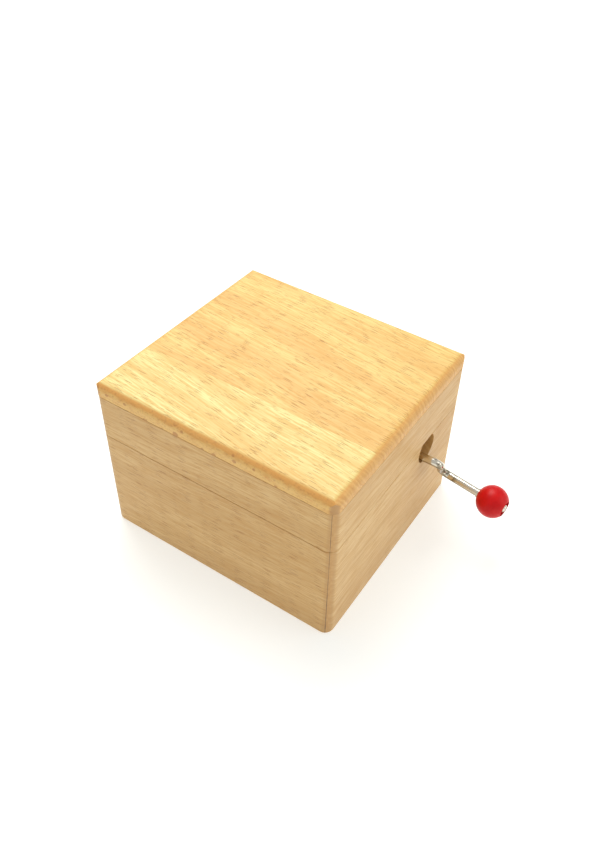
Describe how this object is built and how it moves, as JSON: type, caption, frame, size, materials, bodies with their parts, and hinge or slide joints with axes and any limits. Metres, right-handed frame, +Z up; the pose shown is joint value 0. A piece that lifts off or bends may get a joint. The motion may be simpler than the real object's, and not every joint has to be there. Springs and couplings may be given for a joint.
{
  "type": "hand-crank music box",
  "caption": "Square beech box with a hinged lid; a bent wire crank with a round red knob turns a pinned cylinder against a steel comb through a worm drive.",
  "frame": {"origin": "centre of the box's flat underside", "axes": "+X towards the side the crank comes out of, +Y towards the hinged back, +Z up"},
  "size_m": [0.0936, 0.0646, 0.0488],
  "materials": {
    "beech": "satin, side grain",
    "beech_panel": "satin lacquer, flat-sawn",
    "hinge_brass": "polished",
    "cast_zinc": "as cast",
    "screw_steel": "zinc plated",
    "comb_steel": "ground",
    "lead": "dull",
    "brass": "turned",
    "bracket_steel": "nickel plated",
    "pin_steel": "bright",
    "worm_brass": "turned",
    "nickel": "nickel plated",
    "red_plastic": "satin"
  },
  "bodies": {
    "base": {"base_front_wall": "beech", "base_back_wall": "beech", "base_left_wall": "beech", "base_right_wall": "beech", "base_floor": "beech", "hinge_left_base_leaf": "hinge_brass", "hinge_right_base_leaf": "hinge_brass", "hinge_left_pin": "hinge_brass", "hinge_right_pin": "hinge_brass", "hinge_base_screws": "hinge_brass", "bedplate": "cast_zinc", "mounting_screws": "screw_steel", "comb": "comb_steel", "comb_weights": "lead", "comb_screws": "screw_steel", "bushing_front": "brass", "bushing_back": "brass", "bracket_left": "bracket_steel", "bracket_right": "bracket_steel", "bracket_screws": "screw_steel"},
    "lid": {"lid_front_wall": "beech", "lid_back_wall": "beech", "lid_left_wall": "beech", "lid_right_wall": "beech", "lid_top_back_board": "beech_panel", "lid_top_front_board": "beech_panel", "hinge_left_lid_leaf": "hinge_brass", "hinge_right_lid_leaf": "hinge_brass", "hinge_lid_screws": "hinge_brass"},
    "crank": {"crank_wire": "nickel", "worm": "worm_brass"},
    "cylinder": {"cylinder_drum": "brass", "cylinder_pins": "pin_steel", "cylinder_cap": "brass", "cylinder_wheel": "brass", "cylinder_arbor": "pin_steel"},
    "knob": {"crank_bead": "red_plastic"}
  },
  "joints": [
    {"name": "lid_hinge", "type": "hinge", "parent": "base", "child": "lid", "pos_m": [0, 0.03075, 0.0321], "axis": [-1, 0, 0], "range_deg": [0, 96]},
    {"name": "crank_spin", "type": "hinge", "parent": "base", "child": "crank", "pos_m": [0.011, 0.0122, 0.0267], "axis": [1, 0, 0], "continuous": true},
    {"name": "cylinder_spin", "type": "hinge", "parent": "base", "child": "cylinder", "pos_m": [0.011, 0, 0.0184], "axis": [0, 1, 0], "continuous": true},
    {"name": "knob_spin", "type": "hinge", "parent": "crank", "child": "knob", "pos_m": [0.05456, 0.01679, 0.01744], "axis": [0.9938, -0.0898, -0.0648], "continuous": true}
  ],
  "couplings": [
    {"joint": "cylinder_spin", "follows": "crank_spin", "ratio": -0.05}
  ]
}
